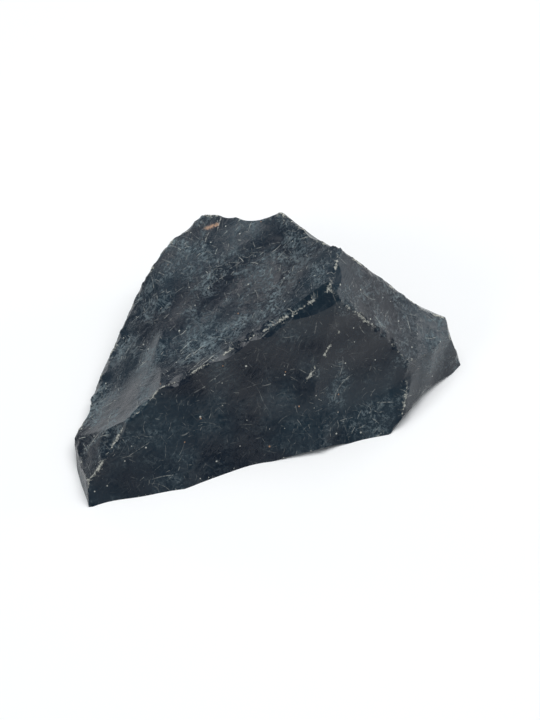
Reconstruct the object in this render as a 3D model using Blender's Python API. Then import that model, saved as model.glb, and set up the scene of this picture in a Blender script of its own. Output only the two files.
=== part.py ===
"""Obsidian chunk: one solid lump of volcanic glass, bounded by the shell-shaped scars where it was broken.

Each scar is a shallow hollow with faint ribs that ring the point where the blow fell. The lump is a rough
block from which a cutter takes each scar away, then the small flakes that the sharp edges have lost.
Metres, +Z up, origin under the middle of the chunk on the surface that it rests on, +Y away from the viewer.
"""

import math
from collections import namedtuple

import bmesh
import bpy
import numpy as np
from mathutils import Matrix, Vector

MM = 0.001

# Sizes of the block before it is flaked, and the middle of the finished chunk's footprint, in millimetres
BLOCK_SIZE = (134.0, 116.0, 72.0)
BLOCK_MIDDLE = (0.0, 46.0, 36.0)
FOOTPRINT_MIDDLE = (1.0, 46.1)
HEART = (0.0, 42.0, 20.0)

# One fracture face. at: a point on it. turn and tilt: the way it faces, from +X and above the level, degrees.
# hollow: radius of its hollow, 0 if flat, negative if it bulges. reach: how far out its rim is.
# blow: where the crack began, from the middle of the face. rib: spacing of the ribs next to the blow.
Fracture = namedtuple("Fracture", "at turn tilt hollow reach blow rib rib_height")

FRACTURES = {
    "top": Fracture((-6, 54, 37), 172, 60, 160, 32, (-6, -34), 13, 0.16),
    "left": Fracture((-38.3, 38, 18.9), 170, 47, 110, 20, (10, 26), 9, 0.14),
    "left_side": Fracture((-52.5, 34, 8), 166, 12, -260, 0, (34, 6), 9, 0.12),
    "front_left": Fracture((-29, 13.6, 14), -79, 27, 130, 20, (30, 20), 10, 0.14),
    "front_middle": Fracture((0, 25.2, 20), -78, 25, 130, 24, (20, 36), 10, 0.16),
    "front_right": Fracture((29, 34.6, 22), -71, 20, 85, 20, (-7, 31), 9, 0.18),
    "front_under": Fracture((11, 17, 2), -72, -36, 110, 22, (0, 20), 8, 0.14),
    "shoulder": Fracture((38, 47, 29.2), -20, 38, 200, 26, (-18, 24), 9, 0.16),
    "right": Fracture((47, 41.5, 6), -37, 15, 160, 15, (-14, 14), 8, 0.14),
    "right_under": Fracture((47, 39, 1.5), -42, -38, 60, 14, (12, 10), 7, 0.14),
    "tip": Fracture((-54, 10, 3), -167, 8, 120, 10, (-8, 12), 7, 0.1),
    "far_right": Fracture((56.4, 56, 8), 12, 16, 90, 12, (-14, 16), 8, 0.14),
    "shoulder_back": Fracture((39, 62, 34), 72, 14, 80, 16, (16, 18), 8, 0.18),
    "back_right": Fracture((14, 70.2, 41.2), 47, 30, 220, 24, (-10, 26), 9, 0.18),
    "back": Fracture((-9, 86.4, 28), 69, 8, -600, 0, (14, 16), 10, 0.2),
    "back_left": Fracture((-29, 84.4, 16), 122, 4, 120, 12, (-12, 10), 9, 0.16),
    "left_under": Fracture((-55, 33, 3), 168, -38, 80, 22, (20, 8), 9, 0.14),
    "back_under": Fracture((-8, 86, 6), 78, -40, 90, 24, (20, 8), 9, 0.14),
    "tip_slope": Fracture((-47.5, 8, 11.7), -174, 44, 120, 10, (8, 10), 7, 0.1),
}

# Ribs spread out with distance from the blow by this power, and fade over this many spacings
RIB_SPREAD = 0.85
RIB_FADE = 6.0
# The broad swells of a fracture face: their height, and the wave lengths that they are made of
SWELL_HEIGHT = 0.36
SWELL_LENGTHS = (16, 25, 34, 43, 52)
# A hollow's rim climbs no higher than this above the face, well outside the chunk
MOST_RISE = 40.0

# Cutter for a fracture face: four rings to a rib near the blow, then wider ones, and a flat lid
RINGS_PER_RIB = 4
FINE_RINGS = 24
WIDE_RING = 14.0
CUTTER_REACH = 150.0
CUTTER_SIDES = 48
LID_HEIGHT = 82.0
# Points of a cutter nearer to each other than this are one point
MERGE = 0.01

# Flakes lost from the sharp edges: how many, their seed, the radii of the balls that cut them, how deep they
# bite and how much deeper for each millimetre of the ball, how close to an edge they fall, how sharp an edge
# is (the cosine between its faces' normals), how far they lean to one of its faces, their scatter, and the
# lowest one's height
FLAKE_COUNT = 66
FLAKE_SEED = 7
FLAKE_BALL = (4.0, 26.0)
FLAKE_BITE = (0.4, 1.0)
FLAKE_DEEPER = 0.03
EDGE_GAP = 0.6
EDGE_SHARPNESS = 0.55
FLAKE_LEAN = 0.35
FLAKE_SCATTER = 0.15
LOWEST_FLAKE = 2.0
# Balls of more than this radius are divided once more
FINE_BALL = 9.0
# The search for edges: how many rays from the heart of the chunk, their length, and how often each is halved
RAY_COUNT = 4000
RAY_REACH = 90.0
HALVINGS = 24


def direction(turn, tilt):
    """Unit vector that points turn degrees round from +X and tilt degrees above the level."""
    a, e = math.radians(turn), math.radians(tilt)
    return np.array([math.cos(e) * math.cos(a), math.cos(e) * math.sin(a), math.sin(e)])


def face_axes(face):
    """Level axis, rising axis and outward normal of a fracture face."""
    normal = direction(face.turn, face.tilt)
    level = np.cross([0.0, 0.0, 1.0], normal)
    level /= np.linalg.norm(level)
    return level, np.cross(normal, level), normal


def swell(x, y, seed):
    """Sum of five sine waves that cross at seeded angles, taller the longer they are."""
    rng = np.random.default_rng(seed)
    total = 0.0
    for length in SWELL_LENGTHS:
        turn, phase = rng.uniform(0, 2 * math.pi, 2)
        across = x * math.cos(turn) + y * math.sin(turn)
        total = total + length / SWELL_LENGTHS[-1] * np.sin(2 * math.pi * across / length + phase)
    return SWELL_HEIGHT * total


def face_height(face, seed, x, y):
    """How far the fracture face stands out of its flat plane at x along and y up it."""
    height = swell(x, y, seed)
    if face.hollow:
        height = height + (x * x + y * y - face.reach**2) / (2 * face.hollow)
    rings = (np.hypot(x - face.blow[0], y - face.blow[1]) / face.rib) ** RIB_SPREAD
    height = height + face.rib_height * np.sin(2 * math.pi * rings) * np.exp(-rings / RIB_FADE)
    return np.minimum(height, MOST_RISE)


def beyond_faces(points):
    """For each point, how far it lies outside each fracture face: one row for each face."""
    rows = []
    for seed, face in enumerate(FRACTURES.values()):
        level, rising, normal = face_axes(face)
        away = points - np.array(face.at, float)
        rows.append(away @ normal - face_height(face, seed, away @ level, away @ rising))
    return np.array(rows)


def lost_flakes():
    """Middles and radii of the balls that cut the flakes, set on the chunk's edges along seeded rays."""
    rng = np.random.default_rng(FLAKE_SEED)
    rays = rng.normal(size=(RAY_COUNT, 3))
    rays /= np.linalg.norm(rays, axis=1)[:, None]
    near, far = np.zeros(len(rays)), np.full(len(rays), RAY_REACH)
    for _ in range(HALVINGS):
        middle = (near + far) / 2
        outside = beyond_faces(np.array(HEART) + rays * middle[:, None]).max(axis=0) > 0
        near, far = np.where(outside, near, middle), np.where(outside, middle, far)
    points = np.array(HEART) + rays * near[:, None]
    depth = beyond_faces(points)
    order = np.argsort(depth, axis=0)
    gap = -np.take_along_axis(depth, order[-2:-1], axis=0)[0]
    normals = np.array([face_axes(face)[2] for face in FRACTURES.values()])
    first, second = normals[order[-1]], normals[order[-2]]
    sharp = (first * second).sum(axis=1) < EDGE_SHARPNESS
    on_edge = np.flatnonzero((gap < EDGE_GAP) & sharp & (points[:, 2] > LOWEST_FLAKE))[:FLAKE_COUNT]
    outward = first[on_edge] + FLAKE_LEAN * second[on_edge]
    outward += rng.normal(scale=FLAKE_SCATTER, size=outward.shape)
    outward /= np.linalg.norm(outward, axis=1)[:, None]
    small, large = FLAKE_BALL
    radius = small * (large / small) ** rng.uniform(0, 1, len(on_edge))
    bite = rng.uniform(*FLAKE_BITE, len(on_edge)) + FLAKE_DEEPER * radius
    return points[on_edge] + outward * (radius - bite)[:, None], radius


def ring_radii(rib):
    """Radii of a fracture cutter's rings, which fall on the crests and troughs of the ribs."""
    radii = [rib * (step / RINGS_PER_RIB) ** (1 / RIB_SPREAD) for step in range(1, FINE_RINGS + 1)]
    while radii[-1] < CUTTER_REACH:
        radii.append(radii[-1] + WIDE_RING)
    return radii


def fracture_cutter(name, face, seed, collection):
    """Turned disc with its axis at the blow, bent to the face and closed by a lid outside the chunk."""
    bm = bmesh.new()
    spoke = [bm.verts.new((0, 0, 0))] + [bm.verts.new((r, 0, 0)) for r in ring_radii(face.rib)]
    edges = [bm.edges.new(pair) for pair in zip(spoke, spoke[1:])]
    bmesh.ops.spin(
        bm, geom=spoke + edges, axis=(0, 0, 1), cent=(0, 0, 0),
        steps=CUTTER_SIDES, angle=2 * math.pi, use_merge=True,
    )
    bmesh.ops.remove_doubles(bm, verts=bm.verts, dist=MERGE)
    for vert in bm.verts:
        vert.co.x += face.blow[0]
        vert.co.y += face.blow[1]
        vert.co.z = float(face_height(face, seed, vert.co.x, vert.co.y))
    rim = [edge for edge in bm.edges if edge.is_boundary]
    wall = bmesh.ops.extrude_edge_only(bm, edges=rim)["geom"]
    for vert in (item for item in wall if isinstance(item, bmesh.types.BMVert)):
        vert.co.z = LID_HEIGHT
    bmesh.ops.holes_fill(bm, edges=[edge for edge in bm.edges if edge.is_boundary])
    level, rising, normal = (Vector(axis) for axis in face_axes(face))
    turned = Matrix((level, rising, normal)).transposed().to_4x4()
    bm.transform(Matrix.Scale(MM, 4) @ Matrix.Translation(face.at) @ turned)
    bmesh.ops.triangulate(bm, faces=bm.faces)
    bmesh.ops.recalc_face_normals(bm, faces=bm.faces)
    if bm.calc_volume(signed=True) < 0:
        bmesh.ops.reverse_faces(bm, faces=bm.faces)
    return cutter_object("fracture_" + name, bm, collection)


def flake_cutter(index, middle, radius, collection):
    """Ball that bites a flake out of an edge."""
    bm = bmesh.new()
    bmesh.ops.create_icosphere(bm, subdivisions=4 if radius > FINE_BALL else 3, radius=radius * MM)
    bmesh.ops.translate(bm, verts=bm.verts, vec=Vector(middle) * MM)
    return cutter_object(f"flake_{index:02d}", bm, collection)


def cutter_object(name, bm, collection):
    """Object for a finished cutter, hidden from the render."""
    mesh = bpy.data.meshes.new(name)
    bm.to_mesh(mesh)
    bm.free()
    cutter = bpy.data.objects.new(name, mesh)
    cutter.hide_render = True
    cutter.display_type = "WIRE"
    collection.objects.link(cutter)
    return cutter


def rough_block(collection):
    """Block that the chunk is broken from. Its underside is the flat face that the chunk rests on."""
    mesh = bpy.data.meshes.new("obsidian_chunk")
    bm = bmesh.new()
    bmesh.ops.create_cube(bm, size=1.0)
    bmesh.ops.scale(bm, verts=bm.verts, vec=[size * MM for size in BLOCK_SIZE])
    bmesh.ops.translate(bm, verts=bm.verts, vec=Vector(BLOCK_MIDDLE) * MM)
    bm.to_mesh(mesh)
    bm.free()
    block = bpy.data.objects.new("obsidian_chunk", mesh)
    collection.objects.link(block)
    return block


def obsidian():
    """Volcanic glass: near black with a blue-green cast, glossy."""
    material = bpy.data.materials.new("obsidian")
    material.use_nodes = True
    shader = material.node_tree.nodes["Principled BSDF"]
    shader.inputs["Base Color"].default_value = (0.012, 0.018, 0.022, 1)
    shader.inputs["Roughness"].default_value = 0.28
    shader.inputs["IOR"].default_value = 1.49
    return material


def new_collection(name):
    """Collection of that name in the scene."""
    collection = bpy.data.collections.new(name)
    bpy.context.scene.collection.children.link(collection)
    return collection


def main():
    """Break the chunk: the rough block less every cutter, over the middle of its footprint."""
    for old in list(bpy.data.objects):
        bpy.data.objects.remove(old)
    chunk_parts = new_collection("obsidian_chunk")
    cutters = new_collection("cutters")
    chunk = rough_block(chunk_parts)
    chunk.data.materials.append(obsidian())
    faces = enumerate(FRACTURES.items())
    tools = [fracture_cutter(name, face, seed, cutters) for seed, (name, face) in faces]
    tools += [flake_cutter(index, *ball, cutters) for index, ball in enumerate(zip(*lost_flakes()))]
    origin = Vector((*FOOTPRINT_MIDDLE, 0)) * MM
    for tool in tools:
        tool.location -= origin
        cut = chunk.modifiers.new(tool.name, "BOOLEAN")
        cut.operation = "DIFFERENCE"
        cut.object = tool
    chunk.location -= origin


main()
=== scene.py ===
"""Obsidian chunk, dressed: one lump of black volcanic glass on a pale table under soft light."""

import math
from collections import namedtuple
from functools import partial

import bpy
import numpy as np
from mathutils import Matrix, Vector


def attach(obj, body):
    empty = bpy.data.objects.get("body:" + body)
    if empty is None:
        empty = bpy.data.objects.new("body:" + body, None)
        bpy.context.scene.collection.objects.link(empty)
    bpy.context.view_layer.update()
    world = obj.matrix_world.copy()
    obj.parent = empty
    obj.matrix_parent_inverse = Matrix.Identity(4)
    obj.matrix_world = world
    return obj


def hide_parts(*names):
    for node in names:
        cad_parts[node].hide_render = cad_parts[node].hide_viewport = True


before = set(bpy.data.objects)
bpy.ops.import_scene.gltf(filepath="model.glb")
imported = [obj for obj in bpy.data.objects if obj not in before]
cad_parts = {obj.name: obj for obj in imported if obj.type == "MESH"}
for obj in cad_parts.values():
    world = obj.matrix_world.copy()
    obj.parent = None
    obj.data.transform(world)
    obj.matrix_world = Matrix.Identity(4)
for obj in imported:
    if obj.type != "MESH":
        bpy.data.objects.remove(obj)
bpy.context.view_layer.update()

# Camera: it looks down at the chunk at 50 degrees from 0.65 m away, through a long lens.
# The aim is the middle of the chunk as it is seen. Metres, and millimetres for the lens and its sensor.
AIM = Vector((-0.0003, -0.0086, 0.022))
CAMERA_TILT = math.radians(50)
CAMERA_AWAY = 0.65
NEAREST_SEEN = 0.05
LENS = 112
SENSOR_WIDTH = 36


def aim(thing):
    """Turn a camera or a light to look at the aim."""
    thing.rotation_euler = (AIM - thing.location).to_track_quat("-Z", "Y").to_euler()


camera_data = bpy.data.cameras.new("camera")
camera_data.lens = LENS
camera_data.sensor_width = SENSOR_WIDTH
camera_data.clip_start = NEAREST_SEEN
camera = bpy.data.objects.new("camera", camera_data)
bpy.context.scene.collection.objects.link(camera)
camera.location = AIM + CAMERA_AWAY * Vector((0, -math.cos(CAMERA_TILT), math.sin(CAMERA_TILT)))
aim(camera)
bpy.context.scene.camera = camera

# Studio: a level sheet of white backdrop paper, and five soft boxes. Glass shows what it mirrors, so a wide
# box overhead gives the light, and smaller, dimmer ones at the sides and in front draw the faces.
# Each box has its place and its width in metres, and its watts.
SOFT_BOXES = {
    "box_over": ((0.10, 0.10, 0.95), 0.9, 9.5),
    "box_behind_left": ((-0.80, 0.90, 0.52), 0.25, 0.6),
    "box_right": ((1.00, 0.30, 0.25), 0.35, 1.2),
    "box_front_left": ((-0.80, -0.60, 0.70), 0.35, 2.0),
    "box_front": ((0.45, -1.20, 0.38), 0.5, 0.4),
}
SHEET_REACH = 4.0
PAPER = "f4f4f4"
ROOM_LIGHT = "dbe6ee"
ROOM_STRENGTH = 0.3


def linear(hex_colour):
    """Linear red, green, blue and alpha 1 from an sRGB hex colour."""
    shades = [int(hex_colour[i : i + 2], 16) / 255 for i in (0, 2, 4)]
    return [s / 12.92 if s <= 0.04045 else ((s + 0.055) / 1.055) ** 2.4 for s in shades] + [1.0]


def node(tree, kind, settings=None, *feeds, **named):
    """Add a shader node with its settings. Its open inputs are fed in order, or by name, from values, from
    other nodes' first open outputs or from sockets."""
    made = tree.nodes.new(kind)
    for name, value in (settings or {}).items():
        setattr(made, name, value)
    pairs = list(zip([socket for socket in made.inputs if socket.enabled], feeds))
    pairs += [(made.inputs[name], feed) for name, feed in named.items()]
    for socket, feed in pairs:
        if isinstance(feed, bpy.types.Node):
            feed = next(output for output in feed.outputs if output.enabled)
        if isinstance(feed, bpy.types.NodeSocket):
            tree.links.new(feed, socket)
        else:
            socket.default_value = feed
    return made


def backdrop_paper():
    """Seamless backdrop paper: matt, white."""
    material = bpy.data.materials.new("backdrop_paper")
    material.use_nodes = True
    shader = material.node_tree.nodes["Principled BSDF"]
    shader.inputs["Base Color"].default_value = linear(PAPER)
    shader.inputs["Roughness"].default_value = 0.9
    shader.inputs["Specular IOR Level"].default_value = 0.1
    return material


def table():
    """Level sheet, a grid of one cell."""
    mesh = bpy.data.meshes.new("table")
    corners = [(x * SHEET_REACH, y * SHEET_REACH, 0) for x, y in ((-1, -1), (1, -1), (1, 1), (-1, 1))]
    mesh.from_pydata(corners, [], [(0, 1, 2, 3)])
    mesh.materials.append(backdrop_paper())
    made = bpy.data.objects.new("table", mesh)
    bpy.context.scene.collection.objects.link(made)
    return made


table()
for name, (place, width, watts) in SOFT_BOXES.items():
    light = bpy.data.lights.new(name, "AREA")
    light.size = width
    light.energy = watts
    box = bpy.data.objects.new(name, light)
    box.location = place
    aim(box)
    bpy.context.scene.collection.objects.link(box)

world = bpy.data.worlds.new("studio")
world.use_nodes = True
world.node_tree.nodes["Background"].inputs["Color"].default_value = linear(ROOM_LIGHT)
world.node_tree.nodes["Background"].inputs["Strength"].default_value = ROOM_STRENGTH
bpy.context.scene.world = world
bpy.context.scene.view_settings.view_transform = "Standard"

# Obsidian: volcanic glass, which cooled too fast to grow crystals. It was broken from a block, so every face
# is a shallow shell-shaped scar with ribs that ring the blow, and the edges have since lost small flakes.
# Sizes here are in millimetres, with the near tip of the chunk at y = 0, as it was measured.
MM = 0.001
FOOTPRINT_MIDDLE = (1.0, 46.1)
HEART = np.array([0.0, 42.0, 20.0])

# at: a point on the face. turn and tilt: the way it faces, in degrees. hollow: radius of its hollow, negative
# if it bulges. reach: how far out its rim is. blow: where the crack began. rib: how far apart the ribs are
# beside the blow. grain: depth of the fine relief. scuff: how rubbed and dusty the face is, 0 to 1.
Face = namedtuple("Face", "at turn tilt hollow reach blow rib rib_height grain scuff")

FACES = {
    "top": Face((-6, 54, 37), 172, 60, 160, 32, (-6, -34), 13, 0.16, 0.02, 0.9),
    "left": Face((-38.3, 38, 18.9), 170, 47, 110, 20, (10, 26), 9, 0.14, 0.02, 1.0),
    "left_side": Face((-52.5, 34, 8), 166, 12, -260, 0, (34, 6), 9, 0.12, 0.03, 0.7),
    "front_left": Face((-29, 13.6, 14), -79, 27, 130, 20, (30, 20), 10, 0.14, 0.012, 0.3),
    "front_middle": Face((0, 25.2, 20), -78, 25, 130, 24, (20, 36), 10, 0.16, 0.01, 0.2),
    "front_right": Face((29, 34.6, 22), -71, 20, 85, 20, (-7, 31), 9, 0.18, 0.01, 0.55),
    "front_under": Face((11, 17, 2), -72, -36, 110, 22, (0, 20), 8, 0.14, 0.03, 0.4),
    "shoulder": Face((38, 47, 29.2), -20, 38, 200, 26, (-18, 24), 9, 0.16, 0.02, 0.7),
    "right": Face((47, 41.5, 6), -37, 15, 160, 15, (-14, 14), 8, 0.14, 0.02, 0.6),
    "right_under": Face((47, 39, 1.5), -42, -38, 60, 14, (12, 10), 7, 0.14, 0.03, 0.5),
    "tip": Face((-54, 10, 3), -167, 8, 120, 10, (-8, 12), 7, 0.1, 0.03, 0.6),
    "far_right": Face((56.4, 56, 8), 12, 16, 90, 12, (-14, 16), 8, 0.14, 0.03, 0.5),
    "shoulder_back": Face((39, 62, 34), 72, 14, 80, 16, (16, 18), 8, 0.18, 0.02, 0.5),
    "back_right": Face((14, 70.2, 41.2), 47, 30, 220, 24, (-10, 26), 9, 0.18, 0.02, 0.5),
    "back": Face((-9, 86.4, 28), 69, 8, -600, 0, (14, 16), 10, 0.2, 0.02, 0.35),
    "back_left": Face((-29, 84.4, 16), 122, 4, 120, 12, (-12, 10), 9, 0.16, 0.02, 0.5),
    "left_under": Face((-55, 33, 3), 168, -38, 80, 22, (20, 8), 9, 0.14, 0.03, 0.5),
    "back_under": Face((-8, 86, 6), 78, -40, 90, 24, (20, 8), 9, 0.14, 0.03, 0.5),
    "tip_slope": Face((-47.5, 8, 11.7), -174, 44, 120, 10, (8, 10), 7, 0.1, 0.02, 0.8),
}

# The flat face that the chunk rests on comes after the others: its number, a point on it and its scuff
BASE = len(FACES)
BASE_POINT = (0.0, 40.0, 0.0)
BASE_SCUFF = 0.6

# Ribs spread out with distance from the blow by this power, and fade over this many spacings. Swells are of
# this height and these lengths, and no face climbs higher above its middle than the most rise.
RIB_SPREAD = 0.85
RIB_FADE = 6.0
SWELL_HEIGHT = 0.36
SWELL_LENGTHS = (16, 25, 34, 43, 52)
MOST_RISE = 40.0

# A ray that closes on a face's plane more slowly than this never meets it. A face that is left out of a
# search counts as this far inside, and a flat face has this radius.
GRAZING = 0.02
NEVER = 999.0
LEFT_OUT = -99.0
FLAT_RADIUS = 1e9

# The search along a ray for the surface starts at a share of the way to the nearest plane and ends at that
# way times a number, plus millimetres. Faces whose planes lie beyond another such sum are left out of it.
SEARCH_FROM = 0.4
SEARCH_TO = (1.5, 6.0)
SEARCH_FACES = (1.7, 8.0)
HALVINGS = 17

# The grid of rays. Coarse grids even out the spacing of the fine one: cells along a side, and rounds of
# evening, each of which takes a point this share of the way to the mean of its neighbours
GRIDS = ((16, 240), (32, 120), (64, 60), (128, 24))
EVENING = 0.7

# Points near an edge go onto it, in rounds, if that moves them less than a share of a cell's width, if they
# lie no deeper than another share of it, and if the edge isn't blunt, by the squared sine between its faces
CELL = 0.7
HUG_ROUNDS = 2
HUG_MOVE = 0.55
HUG_DEPTH = 0.5
HUG_SHARPNESS = 0.08
LEAST_SPREAD = 0.02

# Flakes, and the small chips that crush an edge. count and seed: how many, and of which draw. ball and bite:
# least and most radius of the balls that cut them, and depth of their bites. deeper: more bite for each
# millimetre of the ball. sharpness: cosine between the faces of the bluntest edge that breaks. lean: how far
# a ball leans over the edge's second face. trials: rays tried in the search for edges.
Flakes = namedtuple("Flakes", "count seed ball bite deeper sharpness lean trials")
FLAKES = Flakes(66, 7, (4.0, 26.0), (0.4, 1.0), 0.03, 0.55, 0.35, 4000)
CHIPS = Flakes(420, 5, (0.9, 6.0), (0.12, 0.4), 0.0, 0.85, 0.6, 30000)

# An edge is where a second face lies within this gap. Balls scatter round their lean by this much, and none
# is on an edge lower than this.
EDGE_GAP = 0.6
FLAKE_SCATTER = 0.15
LOWEST_FLAKE = 2.0

# Fine relief: how many waves, of which lengths, from which draw. A wave is as high as its length over the
# unit, to the power, and the usual height of their sum comes down to the face's grain.
RELIEF_WAVES = 36
RELIEF_LENGTHS = (1.8, 6.0)
RELIEF_SEED = 21
RELIEF_UNIT = 8
RELIEF_POWER = 0.4
RELIEF_SUM = 3.2

# Crushed edges, pale with ground glass and with a painted glint, fade over this width, with the sine between
# their faces taken as no less than this. One with the first cosine between its faces is too blunt to be
# crushed, and one with the second is crushed in full. Those below the height are less so, down to a share.
EDGE_WIDTH = 0.9
LEAST_SINE = 0.1
BLUNT_EDGE = 0.97
SHARP_EDGE = 0.67
CLEAN_BELOW = 5.0
LEAST_CRUSHED = 0.25

# Two places to mark, each along a line between two points and so many millimetres wide: the low ridge down
# the front, worn this much where a crushed edge is 1, and a crumb of clay caught on the far rim
RUBBED_RIDGE = ((20.5, 37.5, 34.7), (9.5, 28.5, 19.0), 0.8)
RIDGE_WEAR = 1.1
CLAY_CRUMB = ((-18.5, 84.7, 27.8), (-15.4, 84.7, 29.2), 1.4)

# Points under this height lie on the base. Patterns on two faces are so far apart that none runs on round
# an edge. A crease is an edge of the mesh that stays sharp.
ON_BASE = 0.02
FACES_APART = 211.0
CREASE = math.radians(26)


def direction(turn, tilt):
    """Unit vector that points turn degrees round from +X and tilt degrees above the level."""
    a, e = math.radians(turn), math.radians(tilt)
    return np.array([math.cos(e) * math.cos(a), math.cos(e) * math.sin(a), math.sin(e)])


def face_axes(face):
    """Level axis, rising axis and outward normal of a fracture face."""
    normal = direction(face.turn, face.tilt)
    level = np.cross([0.0, 0.0, 1.0], normal)
    level /= np.linalg.norm(level)
    return level, np.cross(normal, level), normal


def swell(x, y, seed):
    """Sum of five sine waves that cross at seeded angles, taller the longer they are."""
    rng = np.random.default_rng(seed)
    total = 0.0
    for length in SWELL_LENGTHS:
        turn, phase = rng.uniform(0, 2 * math.pi, 2)
        across = x * math.cos(turn) + y * math.sin(turn)
        total = total + length / SWELL_LENGTHS[-1] * np.sin(2 * math.pi * across / length + phase)
    return SWELL_HEIGHT * total


def face_height(face, seed, x, y):
    """Swell, plus a bowl of the hollow's radius, plus ribs: a sine of the way from the blow, dying away."""
    height = swell(x, y, seed) + (x * x + y * y - face.reach**2) / (2 * face.hollow)
    rings = (np.hypot(x - face.blow[0], y - face.blow[1]) / face.rib) ** RIB_SPREAD
    height = height + face.rib_height * np.sin(2 * math.pi * rings) * np.exp(-rings / RIB_FADE)
    return np.minimum(height, MOST_RISE)


NORMALS = np.array([face_axes(face)[2] for face in FACES.values()] + [(0.0, 0.0, -1.0)])
POINTS = np.array([face.at for face in FACES.values()] + [BASE_POINT], float)


def outside(points, near=None):
    """How far each point lies beyond each face, a row for each, the base last. near marks the ones wanted."""
    rows = np.full((BASE + 1, len(points)), LEFT_OUT)
    rows[BASE] = -points[:, 2]
    for seed, face in enumerate(FACES.values()):
        pick = slice(None) if near is None else near[seed]
        level, rising, normal = face_axes(face)
        away = points[pick] - POINTS[seed]
        rows[seed, pick] = away @ normal - face_height(face, seed, away @ level, away @ rising)
    return rows


def flat_reach(rays):
    """Distance along each ray to each face's plane, a row for each face: the gap between the heart and the
    plane, over how fast the ray closes it."""
    closing = NORMALS @ rays.T
    gap = ((POINTS - HEART) * NORMALS).sum(axis=1)[:, None]
    return np.where(closing > GRAZING, gap / np.maximum(closing, GRAZING), NEVER)


def reach(rays):
    """Distance along each ray to the surface, by halving between a point inside and one outside."""
    flat = flat_reach(rays)
    first = flat.min(axis=0)
    near = flat[:BASE] < first * SEARCH_FACES[0] + SEARCH_FACES[1]
    low, high = first * SEARCH_FROM, first * SEARCH_TO[0] + SEARCH_TO[1]
    for _ in range(HALVINGS):
        middle = (low + high) / 2
        out = outside(HEART + rays * middle[:, None], near).max(axis=0) > 0
        low, high = np.where(out, low, middle), np.where(out, middle, high)
    return low


def edge_balls(kind):
    """Balls that bite the edges, found on seeded rays. A ball's middle stands off its edge by the radius less
    the bite, and leans out over one of the edge's faces."""
    rng = np.random.default_rng(kind.seed)
    rays = rng.normal(size=(kind.trials, 3))
    rays /= np.linalg.norm(rays, axis=1)[:, None]
    points = HEART + rays * reach(rays)[:, None]
    depth = outside(points)[:BASE]
    order = np.argsort(depth, axis=0)
    gap = -np.take_along_axis(depth, order[-2:-1], axis=0)[0]
    first, second = NORMALS[order[-1]], NORMALS[order[-2]]
    sharp = (first * second).sum(axis=1) < kind.sharpness
    on_edge = np.flatnonzero((gap < EDGE_GAP) & sharp & (points[:, 2] > LOWEST_FLAKE))[: kind.count]
    outward = first[on_edge] + kind.lean * second[on_edge]
    outward += rng.normal(scale=FLAKE_SCATTER, size=outward.shape)
    outward /= np.linalg.norm(outward, axis=1)[:, None]
    small, large = kind.ball
    radius = small * (large / small) ** rng.uniform(0, 1, len(on_edge))
    depth = rng.uniform(*kind.bite, len(on_edge)) + kind.deeper * radius
    return points[on_edge] + outward * (radius - depth)[:, None], radius


def bitten(rays, length, balls):
    """Shorten each ray to where it first enters a ball: b - sqrt(b^2 - c), with b the way along the ray to
    beside the ball's middle, and c the middle's distance squared less the radius squared."""
    length = length.copy()
    for middle, radius in zip(*balls):
        to_middle = middle - HEART
        b = rays @ to_middle
        under_root = b * b - (to_middle @ to_middle - radius * radius)
        hit = np.flatnonzero((under_root > 0) & (b > 0))
        enter = b[hit] - np.sqrt(under_root[hit])
        length[hit] = np.where(enter > 0, np.minimum(length[hit], enter), length[hit])
    return length


def lattice(cells):
    """Six square grids on a cube, which share the cube's edges: each grid point's place, the first grid point
    at each place, and the number of each grid point's place."""
    i, j = np.meshgrid(np.arange(cells + 1), np.arange(cells + 1), indexing="ij")
    near, far = np.zeros_like(i), np.full_like(i, cells)
    sides = [(far, i, j), (near, j, i), (j, far, i), (i, near, j), (i, j, far), (j, i, near)]
    place = np.stack([np.stack(side, axis=-1) for side in sides])
    keys = (place[..., 0] * (cells + 1) + place[..., 1]) * (cells + 1) + place[..., 2]
    first, corner = np.unique(keys, return_index=True, return_inverse=True)[1:]
    return place, first, corner.reshape(keys.shape)


def doubled(grids):
    """Six grids with a point put midway between each two, along both sides."""
    for axis in (1, 2):
        ahead = np.take(grids, range(1, grids.shape[axis]), axis)
        behind = np.take(grids, range(grids.shape[axis] - 1), axis)
        shape = list(grids.shape)
        shape[axis] = 2 * shape[axis] - 1
        wider = np.empty(shape)
        even, odd = [slice(None)] * 4, [slice(None)] * 4
        even[axis], odd[axis] = slice(0, None, 2), slice(1, None, 2)
        wider[tuple(even)], wider[tuple(odd)] = grids, (ahead + behind) / 2
        grids = wider
    return grids


def even_rays():
    """Rays through six grids, moved until their ends on the flat-faced chunk lie evenly: each goes towards
    the mean of its neighbours' ends, first on a coarse grid and then on grids twice as fine."""
    grids = None
    for cells, rounds in GRIDS:
        place, first, corner = lattice(cells)
        if grids is None:
            grids = np.tan((place / cells * 2 - 1) * math.pi / 4)
        else:
            grids = doubled(grids)
        rays = grids.reshape(-1, 3)[first]
        rays /= np.linalg.norm(rays, axis=1)[:, None]
        ends = np.concatenate([np.stack([corner[:, 1:], corner[:, :-1]], -1).reshape(-1, 2),
                               np.stack([corner[:, :, 1:], corner[:, :, :-1]], -1).reshape(-1, 2)])
        ends = np.unique(np.sort(ends, axis=1), axis=0)
        a, b = np.concatenate([ends[:, 0], ends[:, 1]]), np.concatenate([ends[:, 1], ends[:, 0]])
        count = np.bincount(a, minlength=len(rays))[:, None]
        for _ in range(rounds):
            points = rays * flat_reach(rays).min(axis=0)[:, None]
            mean = np.stack([np.bincount(a, points[b, k], len(rays)) for k in range(3)], axis=1) / count
            rays = points + EVENING * (mean - points)
            rays /= np.linalg.norm(rays, axis=1)[:, None]
        grids = rays[corner]
    return rays, corner


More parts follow.
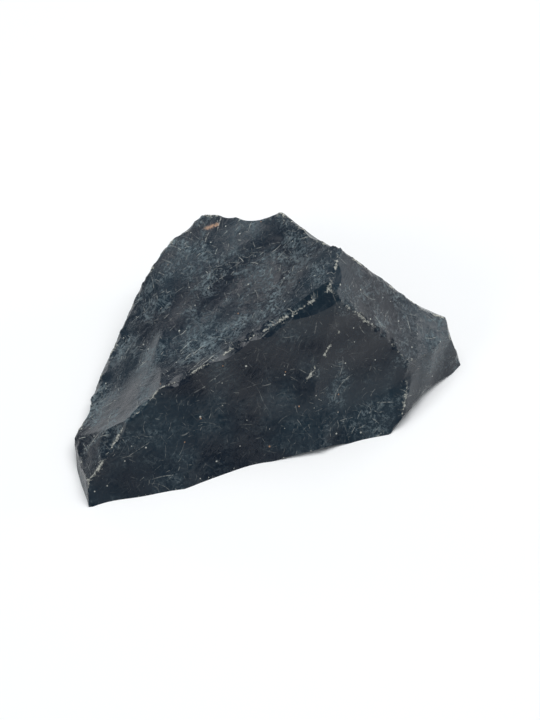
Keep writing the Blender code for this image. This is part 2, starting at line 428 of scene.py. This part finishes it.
def hugged(points, balls):
    """Points near an edge drawn onto it, by the least move that brings its two faces or balls to zero."""
    middles, radii = balls
    for _ in range(HUG_ROUNDS):
        span = np.linalg.norm(points[None] - middles[:, None], axis=2)
        values = np.concatenate([outside(points), radii[:, None] - span])
        order = np.argpartition(values, -2, axis=0)[-2:]
        pair = np.take_along_axis(values, order, axis=0)
        slopes = np.empty((2,) + points.shape)
        for k in range(2):
            is_ball = order[k] > BASE
            slopes[k] = NORMALS[np.minimum(order[k], BASE)]
            toward = middles[order[k][is_ball] - BASE - 1] - points[is_ball]
            slopes[k][is_ball] = toward / np.linalg.norm(toward, axis=1)[:, None]
        dot = (slopes[0] * slopes[1]).sum(axis=1)
        spread = np.maximum(1 - dot * dot, LEAST_SPREAD)
        first, second = (-pair[0] + dot * pair[1]) / spread, (-pair[1] + dot * pair[0]) / spread
        move = first[:, None] * slopes[0] + second[:, None] * slopes[1]
        take = (np.linalg.norm(move, axis=1) < HUG_MOVE * CELL) & (spread > HUG_SHARPNESS)
        take &= pair.min(axis=0) > -HUG_DEPTH * CELL
        points = points + np.where(take[:, None], move, 0)
    return points


def fine_relief(points, top_face):
    """Leathery relief: the sum of many short plane waves in seeded directions, times the face's grain."""
    rng = np.random.default_rng(RELIEF_SEED)
    total = np.zeros(len(points))
    for _ in range(RELIEF_WAVES):
        length = rng.uniform(*RELIEF_LENGTHS)
        along = rng.normal(size=3)
        along /= np.linalg.norm(along)
        wave = np.sin(points @ along * 2 * math.pi / length + rng.uniform(0, 2 * math.pi))
        total += (length / RELIEF_UNIT) ** RELIEF_POWER * wave
    grain = np.array([face.grain for face in FACES.values()] + [0.0])
    return total / RELIEF_SUM * grain[top_face]


def beside(points, start, end, width):
    """1 on the line between two points, and less beside it: exp(-distance / width)."""
    way = np.subtract(end, start)
    share = np.clip((points - start) @ way / (way @ way), 0, 1)
    return np.exp(-np.linalg.norm(points - start - share[:, None] * way, axis=1) / width)


def leaning(points, number):
    """Outward normal of the bowl of each point's numbered face: the face's normal less the way from its
    middle over the hollow's radius."""
    radius = np.array([face.hollow for face in FACES.values()] + [FLAT_RADIUS])[number]
    away = points - POINTS[number]
    away -= (away * NORMALS[number]).sum(axis=1)[:, None] * NORMALS[number]
    lean = NORMALS[number] - away / radius[:, None]
    return lean / np.linalg.norm(lean, axis=1)[:, None]


def crushing_and_glint(points, depth, order):
    """How crushed the glass is, and so how much painted glint its pale edge carries, most on a sharp edge:
    exp(-distance to the edge / its width) times shares for its sharpness and its height, or the wear beside
    the rubbed ridge where that is more."""
    gap = np.take_along_axis(depth, order, axis=0)
    between = (leaning(points, order[0]) * leaning(points, order[1])).sum(axis=1)
    aside = (gap[1] - gap[0]) / np.sqrt(np.maximum(1 - between**2, LEAST_SINE**2))
    sharp = np.clip((BLUNT_EDGE - between) / (BLUNT_EDGE - SHARP_EDGE), 0, 1)
    high = np.clip(points[:, 2] / CLEAN_BELOW, LEAST_CRUSHED, 1)
    return np.maximum(np.exp(-aside / EDGE_WIDTH) * sharp * high, RIDGE_WEAR * beside(points, *RUBBED_RIDGE))


def scar_places(points, triangles):
    """Each triangle corner's place on the face that its triangle lies on, across and up from the blow, and
    the number of that face."""
    owner = outside(points[triangles].mean(axis=1)).argmax(axis=0)
    places = np.zeros(triangles.shape + (3,))
    for number in range(BASE + 1):
        mine = owner == number
        if number == BASE:
            level, rising, blow = np.eye(3)[0], np.eye(3)[1], (0, 0)
        else:
            face = list(FACES.values())[number]
            level, rising, blow = *face_axes(face)[:2], face.blow
        away = points[triangles[mine]] - POINTS[number]
        places[mine] = np.stack([away @ level - blow[0], away @ rising - blow[1], away[..., 0] * 0], axis=-1)
    return places, owner


def split(points, corner):
    """Two triangles for each grid cell, cut along its shorter diagonal."""
    quads = [corner[:, :-1, :-1], corner[:, 1:, :-1], corner[:, 1:, 1:], corner[:, :-1, 1:]]
    quads = np.stack(quads, -1).reshape(-1, 4)
    p = points[quads]
    turned = np.linalg.norm(p[:, 0] - p[:, 2], axis=1) > np.linalg.norm(p[:, 1] - p[:, 3], axis=1)
    quads = np.where(turned[:, None], quads[:, [1, 2, 3, 0]], quads)
    return np.concatenate([quads[:, [0, 1, 2]], quads[:, [0, 2, 3]]])


def chunk_mesh():
    """Surface whose point is the heart plus a ray times its reach, over six grids of rays that share their
    rims, less flakes and chips, plus fine relief. Its attributes say where it is crushed (pale, with a
    painted glint on sharp edges), scuffed or clayed, and where each corner lies on its scar."""
    rays, corner = even_rays()
    flakes = edge_balls(FLAKES)
    points = hugged(HEART + rays * bitten(rays, reach(rays), flakes)[:, None], flakes)
    rays = points - HEART
    length = np.linalg.norm(rays, axis=1)
    rays /= length[:, None]
    points = HEART + rays * bitten(rays, length, edge_balls(CHIPS))[:, None]
    points[:, 2] = np.maximum(points[:, 2], 0)
    depth = outside(points)
    order = np.argsort(depth, axis=0)[-2:]
    top_face = order[1]
    scuffs = np.array([face.scuff for face in FACES.values()] + [BASE_SCUFF])
    wear = {
        # edge: how crushed, which the glass paints pale, as ground glass and as a painted glint
        "edge": crushing_and_glint(points, depth, order),
        "scuff": scuffs[top_face],
        "clay": beside(points, *CLAY_CRUMB),
    }
    on_base = points[:, 2] < ON_BASE
    points += NORMALS[top_face] * np.where(on_base, 0, fine_relief(points, top_face))[:, None]
    points[on_base, 2] = 0
    points[:, 2] = np.maximum(points[:, 2], 0)
    triangles = split(points, corner)
    blow, owner = scar_places(points, triangles)
    scar = blow.copy()
    scar[..., 0] += owner[:, None] * FACES_APART

    points[:, :2] -= FOOTPRINT_MIDDLE
    mesh = bpy.data.meshes.new("obsidian_surface")
    mesh.from_pydata((points * MM).tolist(), [], triangles.tolist())
    for name, values in wear.items():
        attribute = mesh.attributes.new(name, "FLOAT", "POINT")
        attribute.data.foreach_set("value", values.astype(np.float32))
    for name, values in (("scar", scar), ("blow", blow)):
        attribute = mesh.attributes.new(name, "FLOAT_VECTOR", "CORNER")
        attribute.data.foreach_set("vector", values.ravel().astype(np.float32))
    return mesh


# The glass, its bluer and its browner melt, and what is pale on it
GLASS = "0a1522"
BLUER_GLASS = "08202d"
BROWNER_GLASS = "1c1613"
DUST = "7c8b90"
SCRATCHED = "c4c5bd"
PUMICE = "c3c4bc"
CLAY_GRAIN = "b58a68"
CLAY = "b8957c"
# Crushed edges: pale ground glass, a pale that also serves as a painted glint along sharp edges
CRUSHED_AND_GLINT = "bdbdb3"

# Sizes of the patterns: bands in the melt, ripples and how they wander, patches, webs and grains of dust,
# stretches where scratches crowd and skip, spacing of stuck grains, splinters and stretches of crushed edge,
# whose pale is also a painted glint
BLUER_BAND, BROWNER_BAND = 22, 14
RIPPLE, RIPPLE_WANDER = 2.4, 9
DUST_PATCH, DUST_WEB, DUST_GRAIN = 11, 3.4, 1.0
CROWD, SKIP = 12, 0.9
GRAIN_SPACING = 2.2
SPLINTER, CRUSHED_AND_GLINT_STRETCH = 0.8, 5

# Streaks of the hackle: how many to a radian, and how many to a millimetre along them. Ripples wander by up
# to this many radians of their wave.
SPOKES = 16.0
SPOKE_BREAKS = 0.11
WANDER_BY = 16.0

# Kinds of scratch: width of the cells that hold one each, longest length, width, share of the cells that
# have one, and bend. The widths are about twice those of real ones, so that they show.
Scratch = namedtuple("Scratch", "cell longest width share bend")
SCRATCHES = (
    Scratch(1.5, 1.9, 0.15, 0.45, 0.2),
    Scratch(2.4, 3.2, 0.17, 0.4, 0.12),
    Scratch(3.7, 5.0, 0.2, 0.35, 0.08),
    Scratch(5.9, 8.5, 0.2, 0.35, 0.05),
    Scratch(8.5, 12.0, 0.18, 0.4, 0.09),
    Scratch(4.6, 6.5, 0.3, 0.15, 0.03),
    Scratch(7.0, 3.0, 0.34, 0.3, 0.45),
)

# Neighbours within this many cells run alike, by a noise that swings so many radians, and each is turned by
# up to its own turn more. Few are bright: brightness is a chance to this power, from the dimmest to 1.
ALIKE = 4
SWING = 14.0
OWN_TURN = 1.8
FEW_BRIGHT = 4.0
DIMMEST = 0.12

ATTRIBUTE = "ShaderNodeAttribute"
MATH = "ShaderNodeMath"
VECTOR = "ShaderNodeVectorMath"
RANGE = "ShaderNodeMapRange"
NOISE = "ShaderNodeTexNoise"
CELLS = "ShaderNodeTexVoronoi"
MIX = "ShaderNodeMix"
CHANCES = "ShaderNodeSeparateColor"
PARTS = "ShaderNodeSeparateXYZ"
MULTIPLY = {"operation": "MULTIPLY"}
MULTIPLY_ADD = {"operation": "MULTIPLY_ADD"}
LIMITED_MULTIPLY_ADD = {"operation": "MULTIPLY_ADD", "use_clamp": True}
ADD = {"operation": "ADD"}
LIMITED_ADD = {"operation": "ADD", "use_clamp": True}
SUBTRACT = {"operation": "SUBTRACT"}
HIGHER = {"operation": "MAXIMUM"}
SMOOTH = {"interpolation_type": "SMOOTHSTEP"}
COLOUR = {"data_type": "RGBA"}
FLAT = {"noise_dimensions": "2D"}


def scratches(add, scar, kind):
    """Scratches of one kind, in a share of the cells of a cell pattern on the face: pale where the distance
    from a line through the cell's middle, less the bend times the square of the way along it, is under about
    half the width. Neighbours run roughly alike, and only a few are bright."""
    cells = add(CELLS, {"voronoi_dimensions": "2D"}, scar, 1 / kind.cell)
    chance = add(CHANCES, None, cells.outputs["Color"])
    away = add(VECTOR, SUBTRACT, scar, cells.outputs["Position"])
    swing = add(NOISE, FLAT, cells.outputs["Position"], 1 / (kind.cell * ALIKE), 1.0)
    angle = add(MATH, MULTIPLY, chance.outputs[0], OWN_TURN)
    angle = add(MATH, MULTIPLY_ADD, swing, SWING, angle)
    turned = add("ShaderNodeVectorRotate", {"rotation_type": "Z_AXIS"}, away, (0, 0, 0), angle)
    along = add(PARTS, None, turned)
    square = add(MATH, MULTIPLY, along.outputs[0], along.outputs[0])
    bend = add(RANGE, None, chance.outputs[1], 0, 1, -kind.bend, kind.bend)
    bow = add(MATH, MULTIPLY, square, bend)
    aside = add(MATH, {"operation": "ABSOLUTE"}, add(MATH, SUBTRACT, along.outputs[1], bow))
    line = add(RANGE, SMOOTH, aside, kind.width * 0.8, kind.width * 0.2, 0, 1)
    ends = add(RANGE, SMOOTH, square, kind.longest**2 / 4, kind.longest**2 / 30, 0, 1)
    kept = add(RANGE, SMOOTH, chance.outputs[2], kind.share, kind.share - 0.05, 0, 1)
    bright = add(MATH, {"operation": "POWER"}, chance.outputs[0], FEW_BRIGHT)
    bright = add(RANGE, None, bright, 0, 1, DIMMEST, 1.0)
    line = add(MATH, MULTIPLY, line, ends)
    return add(MATH, MULTIPLY, line, add(MATH, MULTIPLY, kept, bright))


def melt(add, lump):
    """Colour of the glass: bands of bluer melt, and here and there of browner melt."""
    bands = add(NOISE, None, lump, 1 / BLUER_BAND, 2.0)
    bands = add(RANGE, SMOOTH, bands, 0.35, 0.65, 0, 1)
    body = add(MIX, COLOUR, bands, linear(GLASS), linear(BLUER_GLASS))
    bands = add(NOISE, None, lump, 1 / BROWNER_BAND, 3.0, 0.6)
    bands = add(RANGE, SMOOTH, bands, 0.64, 0.82, 0, 0.3)
    return add(MIX, COLOUR, bands, body, linear(BROWNER_GLASS))


def hackle(add, scar, blow):
    """Fine streaks that run out from the blow, a noise over the angle round it and the distance from it, and
    ripples that ring it, a wandering sine of the distance."""
    apart = add(PARTS, None, blow)
    angle = add(MATH, {"operation": "ARCTAN2"}, apart.outputs[1], apart.outputs[0])
    distance = add(VECTOR, {"operation": "LENGTH"}, blow).outputs["Value"]
    spoke = add(MATH, MULTIPLY, angle, SPOKES)
    spoke = add("ShaderNodeCombineXYZ", None, spoke, add(MATH, MULTIPLY, distance, SPOKE_BREAKS), 0)
    streaks = add(NOISE, FLAT, spoke, 1.0, 4.0, 0.62)
    wander = add(NOISE, FLAT, scar, 1 / RIPPLE_WANDER, 3.0)
    wander = add(MATH, MULTIPLY, wander, WANDER_BY)
    ripples = add(MATH, MULTIPLY_ADD, distance, 2 * math.pi / RIPPLE, wander)
    return streaks, add(MATH, {"operation": "SINE"}, ripples)


def dust(add, lump, scar, scuff, streaks):
    """Patches that hold dust, its powder of grains in webs, and the pale haze they make with the streaks:
    patches times the sum of powder and streaks, times how scuffed the face is."""
    patches = add(NOISE, None, lump, 1 / DUST_PATCH, 4.0, 0.6)
    patches = add(RANGE, SMOOTH, patches, 0.42, 0.66, 0.08, 1.0)
    grains = add(NOISE, FLAT, scar, 1 / DUST_GRAIN, 5.0, 0.8)
    grains = add(RANGE, SMOOTH, grains, 0.42, 0.64, 0, 1)
    webs = add(NOISE, FLAT, scar, 1 / DUST_WEB, 5.0, 0.65, Distortion=0.8)
    webs = add(RANGE, SMOOTH, webs, 0.4, 0.62, 0.15, 1)
    powder = add(MATH, MULTIPLY, grains, webs)
    swept = add(RANGE, SMOOTH, streaks, 0.5, 0.75, 0, 0.3)
    haze = add(MATH, MULTIPLY, patches, add(MATH, LIMITED_ADD, powder, swept))
    return patches, powder, add(MATH, MULTIPLY, haze, scuff)


def rubbing(add, lump, scar, scuff):
    """The palest of all kinds of scratch, times shares for where they crowd, how scuffed the face is and
    where they skip."""
    marks = scratches(add, scar, SCRATCHES[0])
    for kind in SCRATCHES[1:]:
        marks = add(MATH, HIGHER, marks, scratches(add, scar, kind))
    crowd = add(NOISE, None, lump, 1 / CROWD, 3.0)
    crowd = add(RANGE, SMOOTH, crowd, 0.36, 0.62, 0.25, 1)
    rubbed = add(RANGE, None, scuff, 0, 1, 0.25, 1.0)
    skips = add(NOISE, FLAT, scar, 1 / SKIP, 2.0)
    skips = add(RANGE, SMOOTH, skips, 0.36, 0.58, 0.2, 1)
    rubbed = add(MATH, MULTIPLY, rubbed, skips)
    return add(MATH, MULTIPLY, marks, add(MATH, MULTIPLY, crowd, rubbed))


def stuck_grains(add, lump, colour):
    """Grains of pumice and of clay, 0.2 to 0.6 mm across, laid over a colour: balls in the middles of some
    of the cells of a cell pattern."""
    cells = add(CELLS, None, lump, 1 / GRAIN_SPACING)
    chance = add(CHANCES, None, cells.outputs["Color"])
    size = add(RANGE, None, chance.outputs[2], 0, 1, 0.05, 0.13)
    spot = add(MATH, {"operation": "LESS_THAN"}, cells, size)
    kept = add(RANGE, SMOOTH, chance.outputs[0], 0.6, 0.66, 0, 0.8)
    spot = add(MATH, MULTIPLY, spot, kept)
    buff = add(RANGE, SMOOTH, chance.outputs[1], 0.84, 0.88, 0, 1)
    stuff = add(MIX, COLOUR, buff, linear(PUMICE), linear(CLAY_GRAIN))
    return add(MIX, COLOUR, spot, colour, stuff)


def crushed_glass_and_glint(add, lump, edge, splinters):
    """Where glass is ground to white splinters, a white that also paints a glint along sharp edges: where
    their noise, plus a share of how crushed the edge is, plus a slow noise, is high. So they are thick in
    stretches of an edge and sparse between them."""
    tally = add(MATH, MULTIPLY_ADD, edge, 0.29, splinters)
    worn = add(NOISE, None, lump, 1 / CRUSHED_AND_GLINT_STRETCH, 2.0)
    worn = add(RANGE, SMOOTH, worn, 0.35, 0.65, -0.09, 0.1)
    tally = add(MATH, ADD, tally, worn)
    return add(RANGE, SMOOTH, tally, 0.74, 0.88, 0, 0.9)


def volcanic_glass():
    """Obsidian: rhyolite glass, broken and then rubbed. Near black with a blue-green cast; clean faces mirror
    like dark glass, rubbed ones are grey with fine scratches, and crushed edges are pale, a pale that also
    paints a glint along them."""
    material = bpy.data.materials.new("broken_volcanic_glass")
    material.use_nodes = True
    tree = material.node_tree
    shader = tree.nodes["Principled BSDF"]
    add = partial(node, tree)
    lump = add(VECTOR, {"operation": "SCALE"}, add("ShaderNodeTexCoord").outputs["Object"], 1 / MM)
    scar, blow = (
        add(ATTRIBUTE, {"attribute_name": name}).outputs["Vector"] for name in ("scar", "blow")
    )
    edge, scuff, clay = (
        add(ATTRIBUTE, {"attribute_name": name}).outputs["Fac"] for name in ("edge", "scuff", "clay")
    )

    # Glass under dust, scratches and stuck grains
    streaks, ripples = hackle(add, scar, blow)
    patches, powder, haze = dust(add, lump, scar, scuff, streaks)
    marks = rubbing(add, lump, scar, scuff)
    colour = add(MIX, COLOUR, haze, melt(add, lump), linear(DUST))
    colour = add(MIX, COLOUR, marks, colour, linear(SCRATCHED))
    colour = stuck_grains(add, lump, colour)

    # Crushed edges, pale with ground glass and a painted glint, and a buff crumb of clay, ragged and mottled
    splinters = add(NOISE, None, lump, 1 / SPLINTER, 4.0, 0.8)
    crushed_and_glint = crushed_glass_and_glint(add, lump, edge, splinters)
    colour = add(MIX, COLOUR, crushed_and_glint, colour, linear(CRUSHED_AND_GLINT))
    crumb = add(MATH, MULTIPLY_ADD, clay, 0.55, splinters)
    crumb = add(RANGE, SMOOTH, crumb, 0.78, 1.02, 0, 0.85)
    colour = add(MIX, COLOUR, crumb, colour, linear(CLAY))

    # Gloss: sharp on clean glass, dull under dust and duller where it is crushed, scratched or clayed
    pale = add(MATH, HIGHER, add(MATH, HIGHER, crushed_and_glint, marks), crumb)
    gloss = add(RANGE, None, scuff, 0, 1, 0.1, 0.22)
    for part, weight in ((haze, 0.7), (pale, 0.5)):
        gloss = add(MATH, LIMITED_MULTIPLY_ADD, part, weight, gloss)

    # Relief finer than the mesh: hackle and ripples of a few hundredths of a millimetre, and deeper splinters
    relief = add(MATH, MULTIPLY, ripples, add(MATH, MULTIPLY, patches, 0.08))
    for part, weight in ((streaks, 0.9), (powder, 0.12), (crushed_and_glint, 0.8), (marks, -0.3)):
        relief = add(MATH, MULTIPLY_ADD, part, weight, relief)
    bump = add("ShaderNodeBump", None, 0.5, 0.3 * MM, Height=relief)

    tree.links.new(colour.outputs[2], shader.inputs["Base Color"])
    tree.links.new(gloss.outputs[0], shader.inputs["Roughness"])
    tree.links.new(bump.outputs[0], shader.inputs["Normal"])
    shader.inputs["IOR"].default_value = 1.49
    shader.inputs["Specular IOR Level"].default_value = 0.38
    return material


mesh = chunk_mesh()
mesh.materials.append(volcanic_glass())
mesh.shade_smooth()
mesh.set_sharp_from_angle(angle=CREASE)
surface = bpy.data.objects.new("obsidian_surface", mesh)
bpy.context.scene.collection.objects.link(surface)
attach(surface, "root")
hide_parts("obsidian_chunk")
